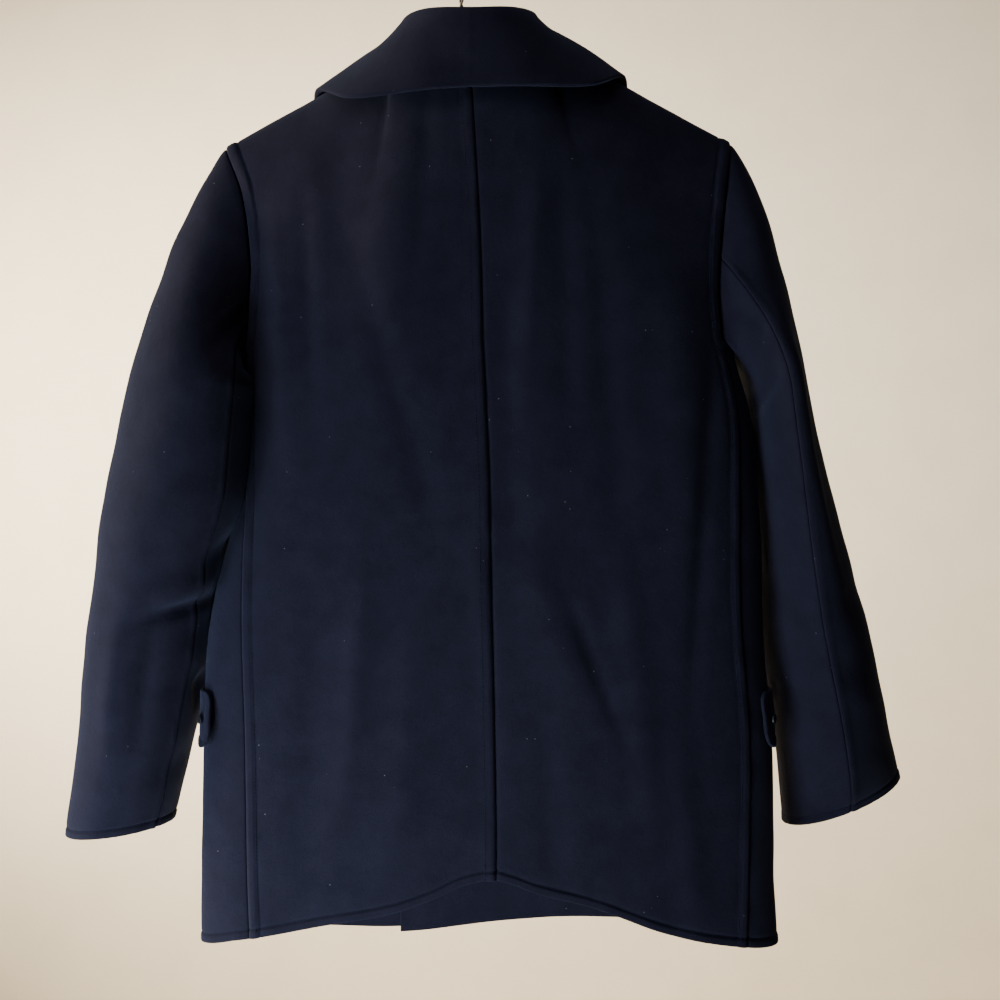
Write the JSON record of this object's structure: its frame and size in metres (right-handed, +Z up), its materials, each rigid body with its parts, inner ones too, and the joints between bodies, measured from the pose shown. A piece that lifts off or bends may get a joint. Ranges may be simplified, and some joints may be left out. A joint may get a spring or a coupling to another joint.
{
  "type": "pea coat on a wire hanger",
  "caption": "Double-breasted wool pea coat with a wide turned-down collar, lapels and pocket flaps, hanging open at the hem on a plain wire hanger.",
  "frame": {"origin": "inside the top of the hanger's hook, where a rail or nail carries it", "axes": "+Z up, -Y the way the coat's buttoned front faces, +X towards the wearer's left"},
  "size_m": [0.8241, 0.1917, 0.976],
  "materials": {
    "melton": "thick fulled navy wool with a short felted nap, matt with a faint sheen at grazing angles",
    "button": "near-black moulded resin, softly glossy",
    "steel": "thin drawn steel wire, slightly tarnished"
  },
  "bodies": {
    "root": {"back_left": "melton", "back_right": "melton", "front_left": "melton", "front_right": "melton", "top_sleeve_left": "melton", "top_sleeve_right": "melton", "under_sleeve_left": "melton", "under_sleeve_right": "melton", "lapel_left": "melton", "lapel_right": "melton", "collar": "melton", "pocket_flap_left": "melton", "pocket_flap_right": "melton", "flap_stud_left": "button", "flap_stud_right": "button", "button_left_1": "button", "button_left_2": "button", "button_left_3": "button", "button_right_1": "button", "button_right_2": "button", "button_right_3": "button", "hanger_wire": "steel"}
  },
  "joints": []
}
